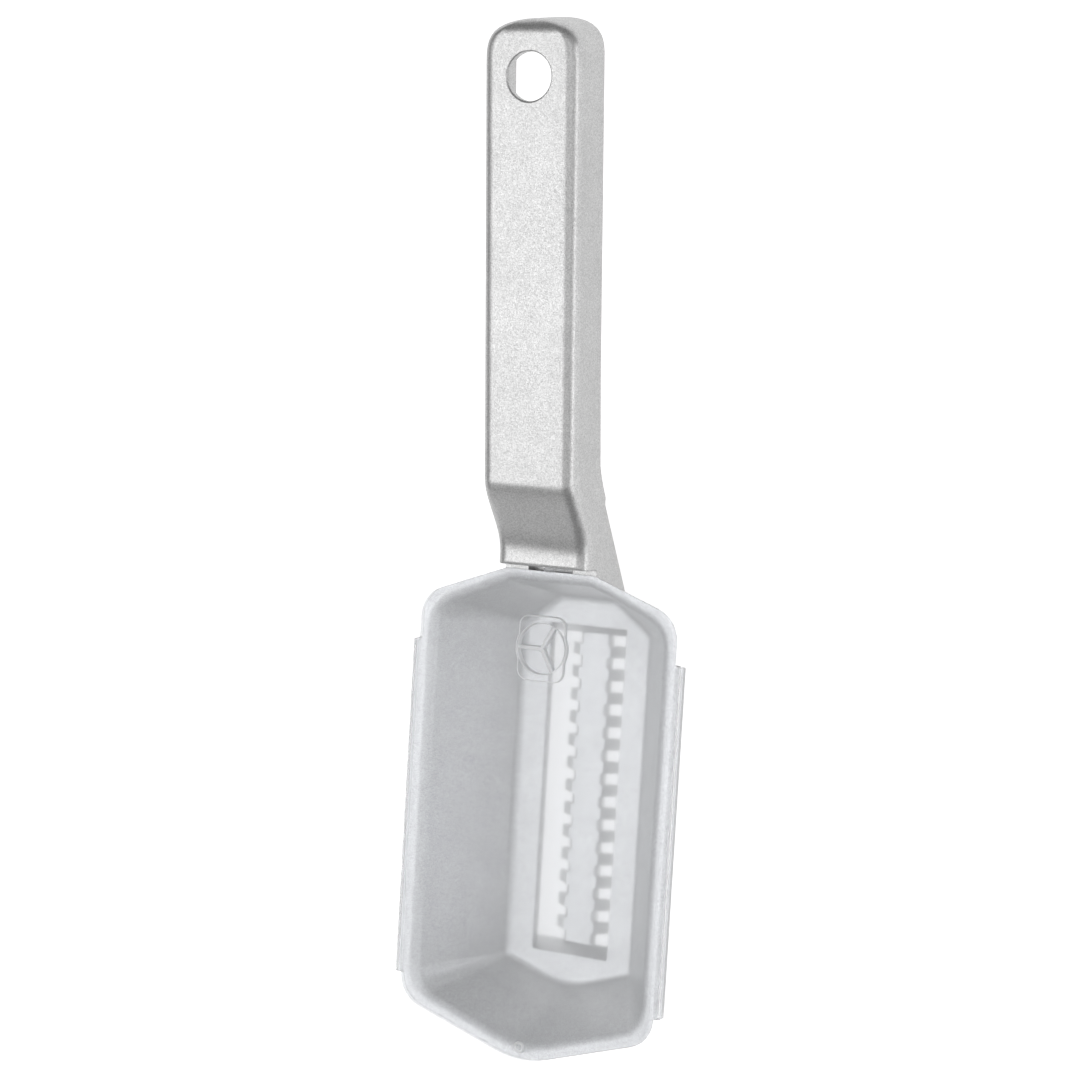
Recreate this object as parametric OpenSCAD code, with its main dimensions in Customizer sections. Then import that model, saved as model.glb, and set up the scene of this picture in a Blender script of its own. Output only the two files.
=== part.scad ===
// Hand fish scaler: a die-cast aluminium handle and scale tray in one piece, with two rows of teeth
// along a bar under the tray, and a translucent cover that slides along the tray's rim.
// Frame: x across, y from the tip (-) to the handle end (+), z up. The origin is under the middle of
// the scaler's length, on the surface that the teeth stand on.

/* [Handle] */
// Length of the handle, from the neck edge of the tray to the handle's end
handle_length = 113.6; // [95:0.1:140]
// Width of the handle
handle_width = 22; // [19:0.5:26]
// Height of the handle's side walls
handle_height = 12.8; // [10:0.2:15]
// Angle by which the handle rises from the plane of the rim
handle_rise = 6.5; // [0:0.5:10]
// Height of the handle's top face over the rim, run down to the neck edge of the tray
handle_lift = 11.8; // [9:0.1:15]
// Radius along the top edges of the handle
handle_edge_radius = 3; // [1.5:0.1:4]
// How far the rounding of the handle's end reaches along the handle
handle_end_round = 8; // [5:0.5:10]
// Fullness of the handle's end: 2 is an ellipse, more is squarer
handle_end_fullness = 2.7; // [2:0.1:4]
// Angle by which the wall at the handle's end slants outwards on its way down
end_slant = 11; // [0:1:18]
// Thickness of the handle's and neck's walls
handle_wall = 2; // [1.6:0.1:3]
// Draft of the channel under the handle: how much wider it is at its open side, on each side
channel_draft = 0.7; // [0:0.1:1]

/* [Hanging hole] */
// Bore of the hole near the handle's end
hole_bore = 10; // [7:0.5:12]
// Distance from the hole's centre to the handle's end
hole_inset = 11.4; // [9:0.1:18]
// Width of the rounded edge round the top of the hole
hole_rounding = 0.4; // [0.3:0.1:1.2]

/* [Neck] */
// Distance from the tray at which the handle starts to bend down
bend_start = 19.5; // [14:0.5:28]
// Distance from the tray at which the bend has reached the lip
bend_end = 3.2; // [2.5:0.1:6]
// Height of the lip over the rim
lip_height = 5; // [3.5:0.1:7]
// Gap between the lip and the neck edge of the cover
lip_gap = 1.1; // [0.6:0.1:2]
// Radius of the lip's upper edge
lip_rounding = 0.8; // [0.3:0.1:1.2]
// Angle of the webs' lower edge, from the handle down to the tray's floor
web_angle = 36; // [28:1:50]
// Depth below the plane of the rim at which the neck's sides step in to the webs
web_ledge = 2.5; // [1:0.1:4]
// How far the webs' outsides lie in from the neck's sides
web_inset = 0.4; // [0.2:0.1:0.8]
// Angle by which the sides lean in below the plane of the rim, on the way down
web_draft = 2; // [0:0.5:3]
// How far along the tray's floor the webs reach
web_reach = 12.4; // [6:0.1:20]
// Width of the pocket under the lip that takes the cover's catch
pocket_width = 10.4; // [6:0.1:12]
// Depth of the pocket below the plane of the rim
pocket_depth = 2.5; // [0.5:0.1:3]

/* [Tray] */
// Length of the tray over its rim, to the sharp tip that its slanting edges run to
tray_length = 107.7; // [90:0.1:140]
// Width of the tray over its rim
tray_width = 61.2; // [56:0.2:76]
// Width of the short edge at the neck
neck_edge_width = 21; // [16:0.5:26]
// Length along y of the slanting edges beside the neck
shoulder_run = 7.4; // [4:0.2:12]
// Length along y of the slanting edges that meet at the tip
tip_run = 10; // [5:0.5:18]
// Inside depth of the tray
tray_depth = 21.4; // [16:0.1:30]
// How far the side walls lean in from rim to floor
side_lean = 12.8; // [6:0.2:13]
// How far the walls at the tip lean in from rim to floor
tip_lean = 9.4; // [4:0.2:12]
// How far the wall at the neck leans in from rim to floor
neck_lean = 4.5; // [1:0.1:8]
// Thickness of the tray's walls and floor
tray_wall = 2.3; // [1.8:0.1:3.2]
// Radius of the tray's outer corners at the rim, seen from above
corner_radius = 7; // [5:0.5:10]
// Radius of the tip, seen from above
tip_radius = 20; // [8:1:26]
// Inside radius between walls and floor
bilge_radius = 1.8; // [1:0.1:4]
// How far the guide rails stand out from the rim
rail_width = 0.9; // [0.7:0.1:1.6]
// Height of the guide rails
rail_height = 0.9; // [0.7:0.1:2]
// Distance from the neck edge of the tray to the rails
rail_start = 17.2; // [14:0.2:30]
// Distance from the rails to the tip of the tray
rail_end = 14.9; // [14.7:0.1:30]

/* [Toothed bar] */
// Width of the bar between the two slots
bar_width = 7.5; // [5:0.5:10]
// How far the bar's top lies below the tray's floor
bar_drop = 4; // [3.2:0.1:6]
// Thickness of the bar
bar_thickness = 2; // [1.6:0.1:3]
// Width of each slot beside the bar
slot_width = 5.5; // [4.4:0.1:7]
// Distance from the neck edge of the tray to the slots
slot_start = 15.1; // [14:0.1:24]
// Distance from the slots to the tip of the tray
slot_end = 21.8; // [19:0.1:30]
// Length of the ramps from the floor down to the ends of the slots
ramp_length = 1.9; // [1:0.1:3]
// Distance from tooth to tooth
tooth_pitch = 5.25; // [4:0.05:8]
// Width of a tooth along the bar
tooth_width = 2.6; // [1.6:0.1:3]
// Length of a tooth, out from the edge of the bar
tooth_length = 3.7; // [2.5:0.1:4.4]
// Angle by which the teeth point down
tooth_angle = 42; // [30:1:60]
// Thickness of a tooth at its root
tooth_root = 1.9; // [1.4:0.1:2.2]
// Thickness of a tooth at its tip
tooth_tip = 1.1; // [0.7:0.1:1.3]

/* [Cover] */
// Thickness of the cover's plate
cover_thickness = 1.2; // [1.1:0.1:2]
// How far the cover's edge stands out over the rim
cover_overhang = 0.2; // [0.1:0.1:0.8]
// Radius of the cover's upper edge
cover_edge_radius = 0.9; // [0.4:0.1:1]
// Thickness of the channels that run round the guide rails
channel_wall = 0.6; // [0.5:0.05:1]
// Running clearance between the cover and the casting
running_clearance = 0.2; // [0.1:0.05:0.35]
// Length of the thumb knob along the cover
knob_length = 14.2; // [13:0.2:18]
// Width of the thumb knob
knob_width = 11.2; // [9:0.2:16]
// Radius of the thumb knob's corners, seen from above
knob_corner_radius = 2.4; // [1:0.1:4]
// Height of the thumb knob over the cover
knob_height = 1; // [0.3:0.1:2]
// Diameter of the round boss in the middle of the knob
boss_diameter = 12.4; // [12:0.2:14]
// Bore of the round dish in the boss
knob_dish = 11; // [8:0.2:11.4]
// Thickness of the three ribs in the knob
knob_rib = 0.9; // [0.6:0.1:1.5]
// How far the ribs stay below the top of the knob
rib_drop = 0.2; // [0:0.1:0.5]
// Distance from the neck edge of the tray to the knob's middle
knob_inset = 16.6; // [13:0.1:30]
// Thickness left under the dish in the knob
dish_floor = 0.7; // [0.6:0.1:1]
// Outer diameter of the small ring near the tip
ring_diameter = 2.6; // [2:0.1:4]
// Height of the ring over the cover
ring_height = 0.4; // [0.2:0.1:1]
// Distance from the ring to the sharp tip that the tray's slanting edges run to
ring_inset = 3.8; // [3.6:0.2:10]
// Width of the catch at the neck edge of the cover
catch_width = 2.2; // [1:0.1:4]
// Thickness of the catch
catch_thickness = 0.9; // [0.6:0.1:1]
// How far the catch reaches under the lip
catch_hold = 0.6; // [0.3:0.1:0.8]

/* [Hidden] */
$fn = 48;
// Points on each rounded corner of an outline
corner_steps = 6;
// A small overlap that joins solids or clears a cut
over = 0.01;
// How far a cut runs past the surface that it opens
clear = 5;
// Half of the least width that the handle's rounded end shrinks to
least_half_width = 0.5;
// Least radius of the edges inside the channel
channel_edge_radius = 0.6;
// How softly the handle's lower edge turns into the webs' lower edge
web_blend = 3;
// The handle's sections turn from upright to end_slant over this length, which ends this far from the end
slant_run = 40;
slant_end = 5;
// The bend is drawn this much further, to take in its soft start
bend_margin = 4;
// How far a tooth's root and a guide rail are buried in what carries them
buried = 1.2;
// Radius of the bar's upper edges
bar_edge = 1;
// Bare bar left at each end of the slots, before the first tooth
bar_bare = 1;
// How far down a tooth's lower face its root reaches
tooth_foot = 0.6;
// How much shorter the cover's channels are than the rails, at each end
channel_end_gap = 0.3;
half_width = tray_width / 2;
tray_outer_depth = tray_depth + tray_wall;
// Where the webs' lower edge has come up to the ledge, and where the curve of the neck is over
web_end = (tray_outer_depth - web_ledge) / tan(web_angle) - web_reach;
neck_end = max(bend_start + bend_margin, web_end + bend_margin);
// The slanting walls are as thick as the floor, so they are wider where the rim cuts them
rim_wall = tray_wall / cos(atan(side_lean / tray_depth));
bar_top = -tray_depth - bar_drop;
bar_bottom = bar_top - bar_thickness;
slot_length = tray_length - slot_start - slot_end;
slot_middle = -slot_start - slot_length / 2;
tooth_count = floor((slot_length - 2 * bar_bare) / tooth_pitch);
tooth_tip_z = bar_top - tooth_length * sin(tooth_angle);
ground_z = min(bar_bottom, tooth_tip_z - tooth_tip * cos(tooth_angle));
end_y = handle_length + handle_height * tan(end_slant);
tip_y = -tray_length + tip_radius * (1 / cos(atan(tip_run / half_width)) - 1) - cover_overhang;
middle_y = (end_y + tip_y) / 2;
slot_outer = bar_width / 2 + slot_width;
rail_length = tray_length - rail_start - rail_end;
rail_middle = -rail_start - rail_length / 2;
rail_x = half_width + rail_width;
channel_x = rail_x + running_clearance + channel_wall;
cover_bottom = running_clearance;
cover_top = cover_bottom + cover_thickness;
catch_reach = lip_gap + catch_hold;

function unit(v) = v / norm(v);
function blend(t) = let(s = max(0, min(1, t))) s * s * (3 - 2 * s);
function soft_min(a, b, k) = let(h = max(k - abs(a - b), 0) / k) min(a, b) - h * h * k / 4;

// Points of the arc that rounds corner p, between neighbours a and b, of an outline drawn anticlockwise
function corner_arc(a, p, b, r) =
    let(u = unit(a - p), w = unit(b - p), half = acos(u * w) / 2,
        reach = r / tan(half), c = p + unit(u + w) * r / sin(half),
        from = p + u * reach - c, to = p + w * reach - c,
        start = atan2(from[1], from[0]), turn = (atan2(to[1], to[0]) - start + 360) % 360)
    [for (i = [0:corner_steps])
        let(a = start + turn * i / corner_steps) c + r * [cos(a), sin(a)]];

// Corners of the tray, moved in by side along the sides, by tip at the tip and by neck at the neck edge
function tray_corners(side, tip, neck) =
    let(w = half_width - side, tip_slope = tip_run / half_width,
        shoulder_slope = shoulder_run / (half_width - neck_edge_width / 2),
        y_tip = -tray_length + tip / cos(atan(tip_slope)),
        shoulder_top = -neck,
        n = max(2, neck_edge_width / 2 - side * 0.25),
        y_shoulder = shoulder_top - (w - n) * shoulder_slope - side * 0.25)
    [[-n, shoulder_top], [-w, y_shoulder], [-w, y_tip + w * tip_slope], [0, y_tip],
     [w, y_tip + w * tip_slope], [w, y_shoulder], [n, shoulder_top]];

function tray_outline(side, tip, neck, shrink = 0) =
    let(c = tray_corners(side, tip, neck), r = max(1.5, corner_radius - shrink),
        radii = [r, r, r, max(3, tip_radius - shrink), r, r, r])
    [for (i = [0:6]) each corner_arc(c[(i + 6) % 7], c[i], c[(i + 1) % 7], radii[i])];

// A closed skin over rings of points with the same count, each drawn anticlockwise seen from the first end
module skin(rings) {
    n = len(rings[0]);
    last = len(rings) - 1;
    sides = [for (k = [0:last - 1], i = [0:n - 1]) let(j = (i + 1) % n)
        each [[k * n + i, (k + 1) * n + j, (k + 1) * n + i], [k * n + i, k * n + j, (k + 1) * n + j]]];
    polyhedron(
        points = [for (ring = rings) each ring],
        faces = concat(sides, [[for (i = [n - 1:-1:0]) i]], [[for (i = [0:n - 1]) last * n + i]]));
}

function at_height(outline, z) = [for (p = outline) [p[0], p[1], z]];

// Outline of the walls at height z, stepped in by inset along the sides and tip and by neck_inset at the neck
function wall_outline(z, inset, neck_inset, step = 0) =
    let(low = -z / tray_depth)
    tray_outline(inset + step + side_lean * low, inset + step + tip_lean * low,
        neck_inset + step + neck_lean * low, (step + side_lean * low) / 2);

// Walls from the rim down to the floor, with the bilge radius between them
module tray_form(inset, neck_inset, depth, radius, above) {
    steps = 6;
    turn = -(depth - radius);
    wall_rings = [for (z = [above, 0, turn]) at_height(wall_outline(z, inset, neck_inset), z)];
    bilge_rings = [for (i = [1:steps])
        let(a = 90 * i / steps)
        at_height(wall_outline(turn, inset, neck_inset, radius * (1 - cos(a))), turn - radius * sin(a))];
    skin(concat(wall_rings, bilge_rings));
}

module tray_outside() {
    tray_form(0, 0, tray_outer_depth, bilge_radius + tray_wall, 0);
}

module tray_inside() {
    tray_form(rim_wall, tray_wall, tray_depth, bilge_radius, 6);
}

// Height of the handle's top face, its bend and the lip, in the middle of the width
function handle_line(y) = handle_lift + tan(handle_rise) * y;
function top_line(y) =
    lip_height + (handle_line(y) - lip_height) * blend((y - bend_end) / (bend_start - bend_end));
function web_line(y) = -tray_outer_depth + (y + web_reach) * tan(web_angle);
function bottom_line(y) = soft_min(handle_line(y) - handle_height, web_line(y), web_blend);

// Share of the full width that the handle's rounded end leaves at y
function end_share(y) =
    let(t = max(0, (y - handle_length + handle_end_round) / handle_end_round))
    pow(max(0, 1 - pow(t, handle_end_fullness)), 1 / handle_end_fullness);

// How far the top edge has rounded down at y
function end_drop(y, r) = let(t = max(0, y - handle_length + r)) r - sqrt(max(0, r * r - t * t));

// Slope of the sections at y: upright at the neck, and as the end wall slants at the handle's end
function section_lean(y) =
    tan(end_slant) * blend((y - handle_length + slant_run + slant_end) / slant_run);

// Section of the handle or neck at y: a bar with rounded upper edges, wider by draft further down, whose
// sides lean in again below the rim
function section(y, inset, low, draft = 0) =
    let(w = max(least_half_width, handle_width / 2 * end_share(y + inset) - inset),
        r = min(0.8 * w, max(channel_edge_radius, handle_edge_radius - inset)),
        top = top_line(y) - inset - end_drop(y + inset, handle_edge_radius), steps = 6,
        right = concat(
            [[w + draft - tan(web_draft) * max(0, -low), low], [w + draft, max(low + least_half_width, 0)]],
            [for (i = [0:steps]) [w - r + r * cos(90 * i / steps), top - r + r * sin(90 * i / steps)]]),
        n = len(right))
    [for (p = concat(right, [for (i = [n - 1:-1:0]) [-right[i][0], right[i][1]]]))
        let(out = (top_line(y) - p[1]) * section_lean(y)) [p[0], y + out, p[1] + out * tan(handle_rise)]];

// Stations along the handle: close together on the neck's curve and on the rounded end
function stations(first, last) =
    let(straight = last - handle_end_round)
    concat([for (i = [0:20]) first + (web_end - first) * i / 20],
        [for (i = [1:8]) web_end + (neck_end - web_end) * i / 8],
        [for (i = [1:4]) neck_end + (straight - neck_end) * i / 4],
        [for (i = [1:12]) straight + handle_end_round * sin(90 * i / 12)]);

module handle_outside() {
    skin([for (y = stations(-web_reach, handle_length - over))
        section(y, 0, max(bottom_line(y), -web_ledge))]);
}

// The webs below the ledge, as one block that the channel later parts in two
module web_outside() {
    length = web_end + 1 + web_reach;
    skin([for (i = [0:14]) let(y = -web_reach + length * i / 14)
        section(y, web_inset, bottom_line(y) + over)]);
}

module handle_inside() {
    skin([for (y = stations(-web_reach - 1, handle_length - handle_wall))
        section(y, handle_wall, bottom_line(y) - clear,
            channel_draft - web_inset * blend((neck_end - y) / bend_margin))]);
}

// The channel under the handle and neck stops at the tray's neck wall and at the wall behind the lip
module channel() {
    difference() {
        handle_inside();
        tray_outside();
        translate([-handle_width, -2 * web_reach, -pocket_depth - handle_wall])
            cube([2 * handle_width, 2 * web_reach + lip_gap + handle_wall, handle_length]);
    }
}

// Space over the rim in front of the lip, with the rounding of the lip's upper edge
module lip_front() {
    translate([-handle_width, 0, 0]) rotate([90, 0, 90]) linear_extrude(2 * handle_width) {
        translate([-2 * web_reach, 0]) square([2 * web_reach + lip_gap, handle_length]);
        translate([lip_gap, lip_height - lip_rounding]) difference() {
            translate([-1, 0]) square(lip_rounding + 1);
            translate([lip_rounding, 0]) circle(r = lip_rounding);
        }
    }
}

// Pocket in front of the lip and under it
module catch_pocket() {
    top = cover_bottom + catch_thickness + running_clearance;
    translate([-pocket_width / 2, 0, -pocket_depth])
        cube([pocket_width, catch_reach + running_clearance, top + pocket_depth]);
}

module guide_rail() {
    translate([half_width - buried, rail_middle - rail_length / 2, -rail_height])
        cube([rail_width + buried, rail_length, rail_height]);
}

module hanging_hole() {
    y = handle_length - hole_inset;
    translate([0, y, handle_line(y)]) rotate([handle_rise, 0, 0]) {
        translate([0, 0, -handle_wall - clear]) cylinder(h = handle_wall + 2 * clear, d = hole_bore);
        rotate_extrude() translate([hole_bore / 2, 0]) difference() {
            translate([-hole_rounding, -hole_rounding]) square(2 * hole_rounding);
            translate([hole_rounding, -hole_rounding]) circle(r = hole_rounding);
        }
    }
}

// One tooth, drawn in x and z out of the edge of the bar, and as wide along y as a tooth is
module tooth() {
    root_x = bar_width / 2 - buried;
    out = [cos(tooth_angle), -sin(tooth_angle)];
    under = [-sin(tooth_angle), -cos(tooth_angle)];
    shoulder = [bar_width / 2, bar_top];
    tip = shoulder + tooth_length * out;
    rotate([90, 0, 0]) translate([0, 0, -tooth_width / 2]) linear_extrude(tooth_width)
        polygon([[root_x, bar_top], shoulder, tip, tip + tooth_tip * under,
            shoulder + tooth_root * under + tooth_foot * out, [root_x, bar_bottom]]);
}

module tooth_row() {
    first = slot_middle - tooth_pitch * (tooth_count - 1) / 2;
    for (i = [0:tooth_count - 1]) translate([0, first + i * tooth_pitch, 0]) tooth();
}

// The bar, with rounded upper edges, and the ramps that carry it at both ends of the slots
module toothed_bar() {
    length = slot_length + ramp_length;
    translate([0, slot_middle + length / 2, 0]) rotate([90, 0, 0]) linear_extrude(length) {
        translate([-bar_width / 2, bar_bottom]) square([bar_width, bar_thickness - bar_edge]);
        translate([-bar_width / 2 + bar_edge, bar_bottom])
            square([bar_width - 2 * bar_edge, bar_thickness]);
        for (s = [-1, 1])
            translate([s * (bar_width / 2 - bar_edge), bar_top - bar_edge]) circle(r = bar_edge);
    }
    for (s = [0, 1]) mirror([s, 0, 0]) tooth_row();
    for (s = [0, 1]) translate([0, slot_middle, 0]) mirror([0, s, 0]) bar_ramp();
}

module bar_ramp() {
    low = slot_length / 2;
    high = low + ramp_length;
    wide = slot_outer + tray_wall;
    translate([-wide, 0, 0]) rotate([90, 0, 90]) linear_extrude(2 * wide)
        polygon([[low, bar_top], [high, -tray_depth], [high + tray_wall, -tray_depth],
            [high + tray_wall, -tray_outer_depth], [low + tray_wall, bar_bottom], [low, bar_bottom]]);
}

// The well in the floor, open below between the ramps
module slots() {
    length = slot_length + 2 * ramp_length;
    translate([-slot_outer, slot_middle - length / 2, -tray_outer_depth - clear])
        cube([2 * slot_outer, length, tray_wall + 2 * clear]);
}

module place() {
    translate([0, -middle_y, -ground_z]) children();
}

module cast_body() {
    color("silver") place() {
        difference() {
            union() {
                tray_outside();
                handle_outside();
                web_outside();
                for (s = [0, 1]) mirror([s, 0, 0]) guide_rail();
            }
            channel();
            lip_front();
            catch_pocket();
            hanging_hole();
            tray_inside();
            slots();
        }
        toothed_bar();
    }
}

function cover_outline(inset) =
    tray_outline(inset - cover_overhang, inset - cover_overhang, inset, inset);

module cover_plate() {
    steps = 4;
    skin(concat([for (i = [0:steps])
            at_height(cover_outline(cover_edge_radius * (1 - sin(90 * i / steps))),
                cover_top - cover_edge_radius * (1 - cos(90 * i / steps)))],
        [at_height(cover_outline(0), cover_bottom)]));
}

// Channel round one guide rail: a side wall and a lip under the rail
module cover_channel() {
    length = rail_length - 2 * channel_end_gap;
    root = half_width - channel_wall;
    inner = rail_x + running_clearance;
    lip = half_width + running_clearance;
    top = cover_bottom + channel_wall;
    under = -rail_height - running_clearance;
    translate([0, rail_middle + length / 2, 0]) rotate([90, 0, 0]) linear_extrude(length)
        polygon([[root, cover_bottom], [inner, cover_bottom], [inner, under], [lip, under],
            [lip, under - channel_wall], [channel_x, under - channel_wall], [channel_x, top], [root, top]]);
}

module knob_outline() {
    r = knob_corner_radius;
    circle(d = boss_diameter);
    square([knob_width, knob_length - 2 * r], center = true);
    square([knob_width - 2 * r, knob_length], center = true);
    for (s = [-1, 1], t = [-1, 1])
        translate([s * (knob_width / 2 - r), t * (knob_length / 2 - r)]) circle(r = r);
}

module knob_ribs() {
    low = cover_bottom + dish_floor / 2;
    high = cover_top + knob_height - rib_drop;
    reach = (knob_dish + boss_diameter) / 4;
    translate([0, -knob_inset, low]) for (a = [60, 180, 300]) rotate(a)
        translate([0, -knob_rib / 2, 0]) cube([reach, knob_rib, high - low]);
}

module tip_ring() {
    translate([0, -tray_length + ring_inset, cover_top - ring_height / 2]) difference() {
        cylinder(h = 1.5 * ring_height, d = ring_diameter);
        translate([0, 0, -clear]) cylinder(h = 2 * clear, d = ring_diameter / 2);
    }
}

module cover_catch() {
    translate([-catch_width / 2, -catch_width, cover_bottom])
        cube([catch_width, catch_width + catch_reach, catch_thickness]);
}

module sliding_cover() {
    color("whitesmoke", 0.6) place() {
        difference() {
            union() {
                cover_plate();
                for (s = [0, 1]) mirror([s, 0, 0]) cover_channel();
                cover_catch();
                translate([0, -knob_inset, cover_bottom + dish_floor / 2])
                    linear_extrude(cover_thickness + knob_height - dish_floor / 2) knob_outline();
            }
            translate([0, -knob_inset, cover_bottom + dish_floor]) cylinder(h = clear, d = knob_dish);
        }
        knob_ribs();
        tip_ring();
    }
}

cast_body();
sliding_cover();
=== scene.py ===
import math
import bmesh
import bpy
from mathutils import Matrix, Vector


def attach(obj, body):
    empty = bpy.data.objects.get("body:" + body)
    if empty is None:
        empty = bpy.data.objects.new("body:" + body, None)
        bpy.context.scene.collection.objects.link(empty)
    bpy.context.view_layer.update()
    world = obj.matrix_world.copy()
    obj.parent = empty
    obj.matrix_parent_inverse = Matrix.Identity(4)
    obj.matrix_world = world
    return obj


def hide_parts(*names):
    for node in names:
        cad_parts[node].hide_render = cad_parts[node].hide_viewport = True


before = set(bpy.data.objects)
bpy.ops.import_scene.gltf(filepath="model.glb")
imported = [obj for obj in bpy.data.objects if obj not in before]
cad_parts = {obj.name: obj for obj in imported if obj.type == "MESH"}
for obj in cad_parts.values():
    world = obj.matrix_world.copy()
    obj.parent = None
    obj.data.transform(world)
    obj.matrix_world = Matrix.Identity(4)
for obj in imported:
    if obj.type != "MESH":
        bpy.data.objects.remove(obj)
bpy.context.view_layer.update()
scene = bpy.context.scene
scene.view_settings.view_transform = "Standard"

# Camera. It looks steeply down from the scaler's right side, a little turned, with a portrait lens
# that takes in the whole tool from the end of the handle to the tip of the tray.
camera_data = bpy.data.cameras.new("camera")
camera_data.lens = 76.667
camera_data.sensor_width = 36
camera = bpy.data.objects.new("camera", camera_data)
scene.collection.objects.link(camera)
camera.matrix_world = (
    Matrix.Translation((0.2182, 0.03309, 0.47169))
    @ Matrix.Rotation(math.radians(-4.02), 4, "X")
    @ Matrix.Rotation(math.radians(26.47), 4, "Y")
    @ Matrix.Rotation(math.radians(5.19), 4, "Z")
)
scene.camera = camera

# Casting. Handle, neck, tray, bar and teeth are one aluminium die casting, tumbled so that its outer
# edges are soft, then coated in a silver lacquer full of fine flakes. The slots beside the bar are open.
casting_edge_radius = 0.00025
casting_crease = math.radians(35)
rim_height = 0.02869
rim_inner_radius = 0.0017


def sharp_chains(solid, crease):
    """The outward edges sharper than the crease, as one list for each run of edges that meet."""
    sharp = dict.fromkeys(e for e in solid.edges if e.is_manifold and e.calc_face_angle_signed() > crease)
    while sharp:
        chain, ahead = [], [sharp.popitem()[0]]
        while ahead:
            edge = ahead.pop()
            chain.append(edge)
            beside = dict.fromkeys(e for v in edge.verts for e in v.link_edges if e in sharp)
            for neighbour in beside:
                del sharp[neighbour]
            ahead += beside
        yield chain


def softened_copy(node, name, radius, crease, loop_height=0, loop_radius=0):
    """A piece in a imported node's shape with rounded edges. Loops at one height can have their own radius."""
    same_spot = 3e-5
    still_flat = math.radians(0.5)
    height_slack = 5e-5
    solid = bmesh.new()
    solid.from_mesh(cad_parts[node].data)
    bmesh.ops.remove_doubles(solid, verts=solid.verts, dist=same_spot)
    bmesh.ops.dissolve_limit(solid, angle_limit=still_flat, verts=solid.verts, edges=solid.edges)
    for chain in sharp_chains(solid, crease):
        special = all(abs(v.co.z - loop_height) < height_slack for e in chain for v in e.verts)
        bmesh.ops.bevel(
            solid, geom=chain, offset=loop_radius if special else radius, offset_type="OFFSET",
            segments=5 if special else 3, profile=0.5, affect="EDGES",
            clamp_overlap=True, loop_slide=True, material=-1,
        )
    bmesh.ops.triangulate(solid, faces=solid.faces)
    mesh = bpy.data.meshes.new(name)
    normals = evened_normals(solid, crease)
    solid.to_mesh(mesh)
    solid.free()
    mesh.normals_split_custom_set(normals)
    piece = bpy.data.objects.new(name, mesh)
    scene.collection.objects.link(piece)
    return piece


def evened_normals(solid, crease):
    """A normal for each corner, weighted by area, so that flats stay flat beside their rounded edges."""
    unrelated = math.pi
    fallback_share = 1e-12
    normals = []
    for face in solid.faces:
        face.smooth = True
        for corner in face.loops:
            near = [f for f in corner.vert.link_faces if f.normal.angle(face.normal, unrelated) < crease]
            total = sum((f.normal * f.calc_area() for f in near), face.normal * fallback_share)
            normals.append(total.normalized())
    return normals


casting = softened_copy(
    "cast_body", "casting", casting_edge_radius, casting_crease, rim_height, rim_inner_radius
)


def new_material(name):
    """A material with its Principled shader and a function that adds a node with its settings."""
    material = bpy.data.materials.new(name)
    material.use_nodes = True
    tree = material.node_tree

    def add(kind, **settings):
        return add_node(tree, kind, **settings)

    return material, tree, tree.nodes["Principled BSDF"], add


def add_node(tree, kind, inputs=(), **settings):
    """A new node with its settings, and with a value for each input that is given by name."""
    node = tree.nodes.new(kind)
    for key, value in settings.items():
        setattr(node, key, value)
    for key, value in dict(inputs).items():
        node.inputs[key].default_value = value
    return node


lacquer, tree, coat, add = new_material("silver_lacquer")
coat.inputs["Metallic"].default_value = 0.95
place = add("ShaderNodeTexCoord").outputs["Object"]
flakes = add("ShaderNodeTexVoronoi", feature="F1", inputs={"Scale": 5200})
tree.links.new(place, flakes.inputs["Vector"])
flake_values = add("ShaderNodeSeparateColor")
tree.links.new(flakes.outputs["Color"], flake_values.inputs["Color"])
flake_shade = add("ShaderNodeMapRange", inputs={"To Min": 0.53, "To Max": 0.77})
tree.links.new(flake_values.outputs["Red"], flake_shade.inputs["Value"])
cloud = add("ShaderNodeTexNoise", inputs={"Scale": 160, "Detail": 4})
tree.links.new(place, cloud.inputs["Vector"])
cloud_shade = add("ShaderNodeMapRange", inputs={"From Min": 0.3, "From Max": 0.7, "To Min": 0.94})
tree.links.new(cloud.outputs["Fac"], cloud_shade.inputs["Value"])
tone = add("ShaderNodeMix", data_type="RGBA", blend_type="MULTIPLY", inputs={"Factor": 1})
tree.links.new(flake_shade.outputs["Result"], tone.inputs["A"])
tree.links.new(cloud_shade.outputs["Result"], tone.inputs["B"])
tree.links.new(tone.outputs["Result"], coat.inputs["Base Color"])
flake_roughness = add("ShaderNodeMapRange", inputs={"To Min": 0.34, "To Max": 0.48})
tree.links.new(flake_values.outputs["Green"], flake_roughness.inputs["Value"])
tree.links.new(flake_roughness.outputs["Result"], coat.inputs["Roughness"])
orange_peel = add("ShaderNodeTexNoise", inputs={"Scale": 1100, "Detail": 3})
tree.links.new(place, orange_peel.inputs["Vector"])
heights = add("ShaderNodeMath", operation="ADD")
tree.links.new(orange_peel.outputs["Fac"], heights.inputs[0])
tree.links.new(flake_values.outputs["Blue"], heights.inputs[1])
bump = add("ShaderNodeBump", inputs={"Strength": 0.12, "Distance": 0.00012})
tree.links.new(heights.outputs[0], bump.inputs["Height"])
tree.links.new(bump.outputs["Normal"], coat.inputs["Normal"])
casting.data.materials.append(lacquer)
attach(casting, "casting")
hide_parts("cast_body")

# Sliding cover. One moulding in frosted, faintly blue plastic: a plate over the rim with a channel down
# each side, a thumb knob, a catch under the lip and a small ring near the tip. It keeps scales inside.
cover_edge_radius = 0.00028
cover_crease = math.radians(50)
above_plate = 0.0302
below_knob_top = 0.031
level_normal = 0.97
cover = softened_copy("sliding_cover", "cover", cover_edge_radius, cover_crease)

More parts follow.
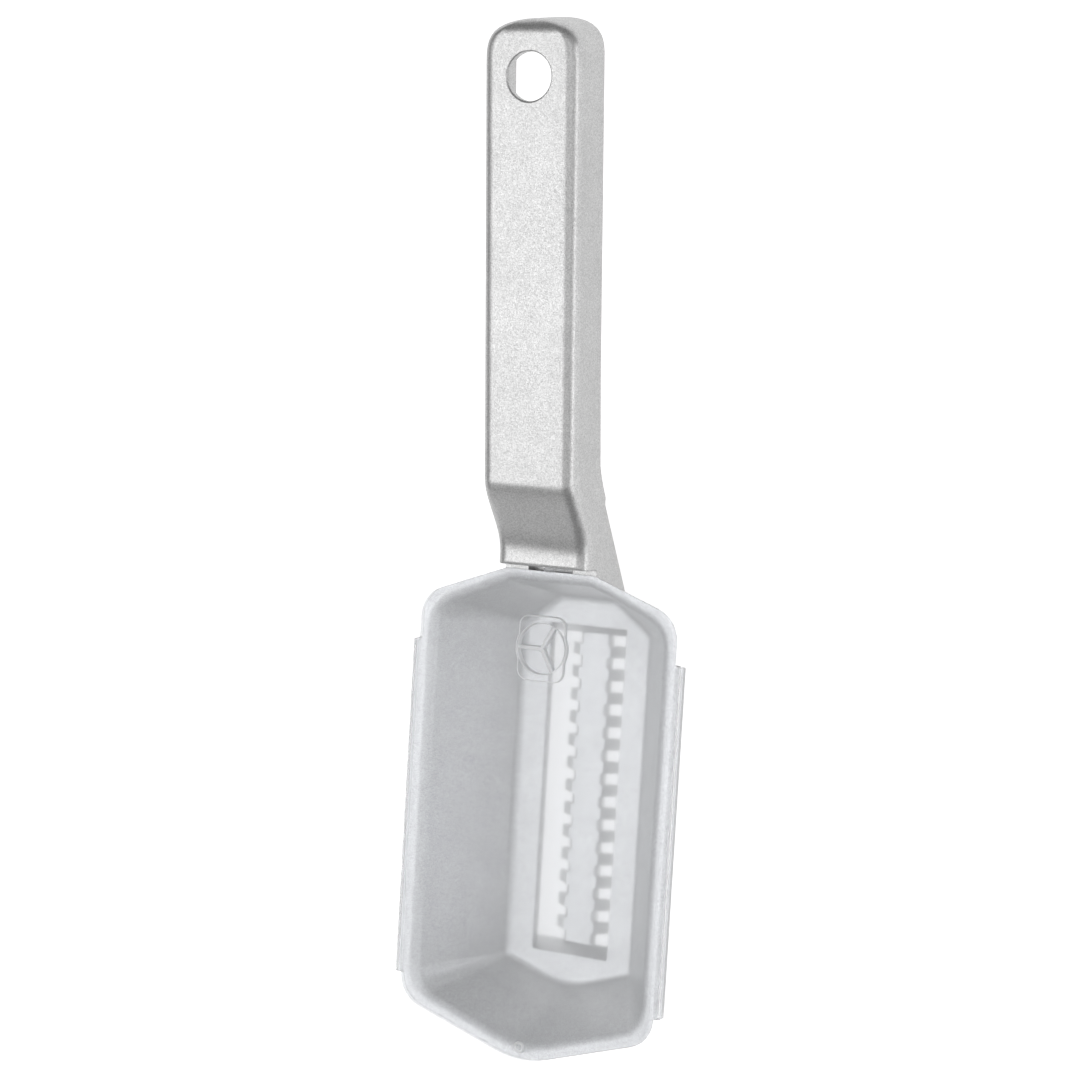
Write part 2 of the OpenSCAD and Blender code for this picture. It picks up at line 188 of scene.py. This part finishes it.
frosting = bpy.data.node_groups.new("frosting", "ShaderNodeTree")
for socket in ("Finest", "Coarsest"):
    frosting.interface.new_socket(socket, in_out="INPUT", socket_type="NodeSocketFloat")
for socket in ("Roughness", "Height"):
    frosting.interface.new_socket(socket, in_out="OUTPUT", socket_type="NodeSocketFloat")
limits = add_node(frosting, "NodeGroupInput")
worked = add_node(frosting, "NodeGroupOutput")
place = add_node(frosting, "ShaderNodeTexCoord").outputs["Object"]
haze = add_node(frosting, "ShaderNodeTexNoise", inputs={"Scale": 300, "Detail": 5})
haze_range = add_node(frosting, "ShaderNodeMapRange")
grain = add_node(frosting, "ShaderNodeTexNoise", inputs={"Scale": 1800})
frosting.links.new(place, haze.inputs["Vector"])
frosting.links.new(place, grain.inputs["Vector"])
frosting.links.new(haze.outputs["Fac"], haze_range.inputs["Value"])
frosting.links.new(limits.outputs["Finest"], haze_range.inputs["To Min"])
frosting.links.new(limits.outputs["Coarsest"], haze_range.inputs["To Max"])
frosting.links.new(haze_range.outputs["Result"], worked.inputs["Roughness"])
frosting.links.new(grain.outputs["Fac"], worked.inputs["Height"])


def frosted_plastic(name, tint, clearness):
    """Frosted plastic. The lamps' shadow rays, which can't bend, pass through it as through tinted film."""
    material, tree, plastic, add = new_material(name)
    plastic.inputs["Base Color"].default_value = (tint, tint + 0.008, tint + 0.022, 1)
    plastic.inputs["Transmission Weight"].default_value = clearness
    plastic.inputs["IOR"].default_value = 1.15
    plastic.inputs["Coat Weight"].default_value = 0.35
    plastic.inputs["Coat Roughness"].default_value = 0.3
    surface = add("ShaderNodeGroup", node_tree=frosting)
    surface.inputs["Finest"].default_value = 0.14
    surface.inputs["Coarsest"].default_value = 0.22
    tree.links.new(surface.outputs["Roughness"], plastic.inputs["Roughness"])
    bump = add("ShaderNodeBump", inputs={"Strength": 0.05, "Distance": 0.00005})
    tree.links.new(surface.outputs["Height"], bump.inputs["Height"])
    tree.links.new(bump.outputs["Normal"], plastic.inputs["Normal"])
    film = add("ShaderNodeBsdfTransparent", inputs={"Color": (0.43, 0.435, 0.45, 1)})
    path = add("ShaderNodeLightPath")
    lamps_pass = add("ShaderNodeMixShader")
    tree.links.new(path.outputs["Is Shadow Ray"], lamps_pass.inputs[0])
    tree.links.new(plastic.outputs[0], lamps_pass.inputs[1])
    tree.links.new(film.outputs[0], lamps_pass.inputs[2])
    tree.links.new(lamps_pass.outputs[0], tree.nodes["Material Output"].inputs["Surface"])
    return material


cover.data.materials.append(frosted_plastic("frosted_plate", 0.86, 0.87))
# Painted highlight: the cover's sloped and upright faces get a whiter copy of the same plastic, standing in
# for the light that catches its edges.
cover.data.materials.append(frosted_plastic("frosted_edge_painted_highlight", 0.97, 0.88))
# Painted highlight: the knob's sides, the ring and the ribs get a whiter, nearly opaque copy of the same
# plastic, standing in for the light that picks out the relief.
cover.data.materials.append(frosted_plastic("frosted_relief_painted_highlight", 0.97, 0.3))
# Faces are sorted by height and slope. Raised relief gets the relief copy with painted highlight, and other
# sloped faces get the edge copy with painted highlight.
for face in cover.data.polygons:
    level = abs(face.normal.z) > level_normal
    highest = max(cover.data.vertices[corner].co.z for corner in face.vertices)
    if highest > above_plate and not (level and highest >= below_knob_top):
        face.material_index = 2
    elif not level:
        face.material_index = 1
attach(cover, "cover")
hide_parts("sliding_cover")

# Studio. A white table under a dim white sky, with four soft lamps: a large one above on the left, a low
# one on the right, one overhead on the right and a faint one in front. The camera sees the table as white.
table_half_side = 3
table_mesh = bpy.data.meshes.new("table")
sheet = bmesh.new()
bmesh.ops.create_grid(sheet, x_segments=1, y_segments=1, size=table_half_side)
sheet.to_mesh(table_mesh)
sheet.free()
table = bpy.data.objects.new("table", table_mesh)
scene.collection.objects.link(table)
white, tree, matt, add = new_material("white_table")
matt.inputs["Base Color"].default_value = (0.6, 0.6, 0.6, 1)
matt.inputs["Roughness"].default_value = 0.9


def highest_of(tree, first, second):
    """The output of a node that gives the higher of two values."""
    node = add_node(tree, "ShaderNodeMath", operation="MAXIMUM")
    tree.links.new(first, node.inputs[0])
    tree.links.new(second, node.inputs[1])
    return node.outputs[0]


rays = add("ShaderNodeLightPath").outputs
mirrored = highest_of(tree, rays["Is Camera Ray"], rays["Is Glossy Ray"])
glow = add("ShaderNodeEmission")
tree.links.new(highest_of(tree, mirrored, rays["Is Transmission Ray"]), glow.inputs["Color"])
glow_strength = add("ShaderNodeMapRange", inputs={"To Min": 0.85, "To Max": 0.65})
tree.links.new(rays["Is Glossy Ray"], glow_strength.inputs["Value"])
tree.links.new(glow_strength.outputs["Result"], glow.inputs["Strength"])
glowing = add("ShaderNodeAddShader")
tree.links.new(matt.outputs[0], glowing.inputs[0])
tree.links.new(glow.outputs[0], glowing.inputs[1])
tree.links.new(glowing.outputs[0], tree.nodes["Material Output"].inputs["Surface"])
table_mesh.materials.append(white)

world = bpy.data.worlds.new("sky")
scene.world = world
world.use_nodes = True
tree = world.node_tree
sky = tree.nodes["Background"]
sky.inputs["Color"].default_value = (1, 1, 1, 1)
sky.inputs["Strength"].default_value = 0.2
backdrop = add_node(tree, "ShaderNodeBackground", inputs={"Color": (1, 1, 1, 1)})
rays = add_node(tree, "ShaderNodeLightPath").outputs
mix = add_node(tree, "ShaderNodeMixShader")
tree.links.new(highest_of(tree, rays["Is Camera Ray"], rays["Is Transmission Ray"]), mix.inputs[0])
tree.links.new(sky.outputs[0], mix.inputs[1])
tree.links.new(backdrop.outputs[0], mix.inputs[2])
tree.links.new(mix.outputs[0], tree.nodes["World Output"].inputs["Surface"])

for name, place, width, length, watts in (
    ("left_lamp", (-0.46, -0.08, 0.87), 0.75, 0.8, 3.1),
    ("right_lamp", (0.95, -0.06, 0.31), 1.0, 0.3, 2.3),
    ("overhead_lamp", (0.49, 0.06, 1.03), 0.8, 0.8, 1.6),
    ("front_lamp", (-0.45, -0.95, 0.3), 0.8, 0.5, 0.6),
):
    light = bpy.data.lights.new(name, "AREA")
    light.shape = "RECTANGLE"
    light.size = width
    light.size_y = length
    light.energy = watts
    lamp = bpy.data.objects.new(name, light)
    lamp.location = place
    lamp.rotation_euler = (-Vector(place)).to_track_quat("-Z", "Y").to_euler()
    scene.collection.objects.link(lamp)
